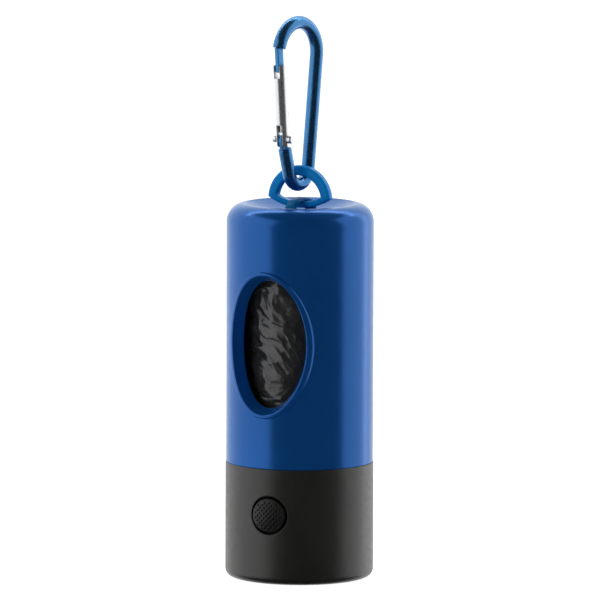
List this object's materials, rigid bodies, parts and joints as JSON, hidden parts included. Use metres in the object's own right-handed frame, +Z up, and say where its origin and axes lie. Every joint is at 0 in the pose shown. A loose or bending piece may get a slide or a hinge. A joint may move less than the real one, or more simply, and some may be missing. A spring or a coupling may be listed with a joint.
{
  "type": "dog poop bag dispenser",
  "caption": "Round pocket dispenser for rolled waste bags, with an oval window, a torch base with a side button, and a clip on a ring.",
  "frame": {"origin": "middle of the base's flat rim, at the bottom", "axes": "+Z up along the round body towards the clip, -Y out of the middle of the window, +X to the right seen from the front"},
  "size_m": [0.0402, 0.0415, 0.1523],
  "materials": {
    "base_black": "satin moulded black plastic",
    "bezel_black": "satin black plastic ring",
    "clear_lens": "clear polished plastic",
    "bright_reflector": "metallised plastic",
    "lamp_epoxy": "clear epoxy",
    "board_green": "coated circuit board",
    "resistor_body": "lacquered ceramic",
    "switch_black": "moulded black plastic",
    "plunger_grey": "moulded grey plastic",
    "holder_black": "moulded black plastic",
    "contact_metal": "plated brass strip",
    "spring_steel": "bright spring wire",
    "cell_steel": "brushed cell case",
    "screw_steel": "zinc plated steel",
    "lead_red": "insulated wire",
    "lead_black": "insulated wire",
    "button_rubber": "dimpled black rubber",
    "core_card": "brown card tube",
    "bag_film": "thin crumpled black film",
    "shell_blue": "glossy blue",
    "ring_blue": "glossy blue",
    "clip_blue": "blue anodised aluminium",
    "rivet_blue": "anodised aluminium pin",
    "gate_silver": "satin aluminium"
  },
  "bodies": {
    "base": {"base_housing": "base_black", "lens_bezel": "bezel_black", "lens": "clear_lens", "reflector": "bright_reflector", "led_1": "lamp_epoxy", "led_2": "lamp_epoxy", "led_3": "lamp_epoxy", "led_board": "board_green", "resistor": "resistor_body", "switch_body": "switch_black", "switch_board": "board_green", "battery_tube": "holder_black", "lower_contact": "contact_metal", "contact_spring": "spring_steel", "cell_1": "cell_steel", "cell_2": "cell_steel", "cell_3": "cell_steel", "upper_contact": "contact_metal", "torch_cover": "base_black", "cover_screws": "screw_steel", "red_lead": "lead_red", "black_lead": "lead_black"},
    "button": {"button": "button_rubber", "switch_plunger": "plunger_grey"},
    "roll": {"roll_core": "core_card", "bag_roll": "bag_film"},
    "shell": {"shell": "shell_blue"},
    "ring": {"d_ring": "ring_blue"},
    "clip": {"clip_frame": "clip_blue", "gate_rivet": "rivet_blue"},
    "gate": {"gate": "gate_silver", "gate_spring": "spring_steel", "gate_pusher": "spring_steel"}
  },
  "joints": [
    {"name": "button_press", "type": "slide", "parent": "base", "child": "button", "axis": [-0.0785, 0.9969, 0], "range_m": [0, 0.001], "stiffness_N_per_m": 400, "springref_m": -0.0005},
    {"name": "roll_turn", "type": "hinge", "parent": "base", "child": "roll", "pos_m": [0, 0, 0.06], "axis": [0, 0, 1], "continuous": true},
    {"name": "shell_pull", "type": "slide", "parent": "base", "child": "shell", "axis": [0, 0, 1], "range_m": [0, 0.075]},
    {"name": "ring_swing", "type": "hinge", "parent": "shell", "child": "ring", "pos_m": [0, 0, 0.10115], "axis": [1, 0, 0], "range_deg": [-40, 40]},
    {"name": "clip_swing", "type": "hinge", "parent": "ring", "child": "clip", "pos_m": [-0.0006, 0, 0.1109], "axis": [0.9903, -0.1392, 0], "range_deg": [-30, 30]},
    {"name": "gate_open", "type": "hinge", "parent": "clip", "child": "gate", "pos_m": [-0.00156, -0.00684, 0.1194], "axis": [-0.9903, 0.1392, 0], "range_deg": [0, 30], "stiffness_Nm_per_rad": 0.01, "springref_deg": -5.73}
  ]
}
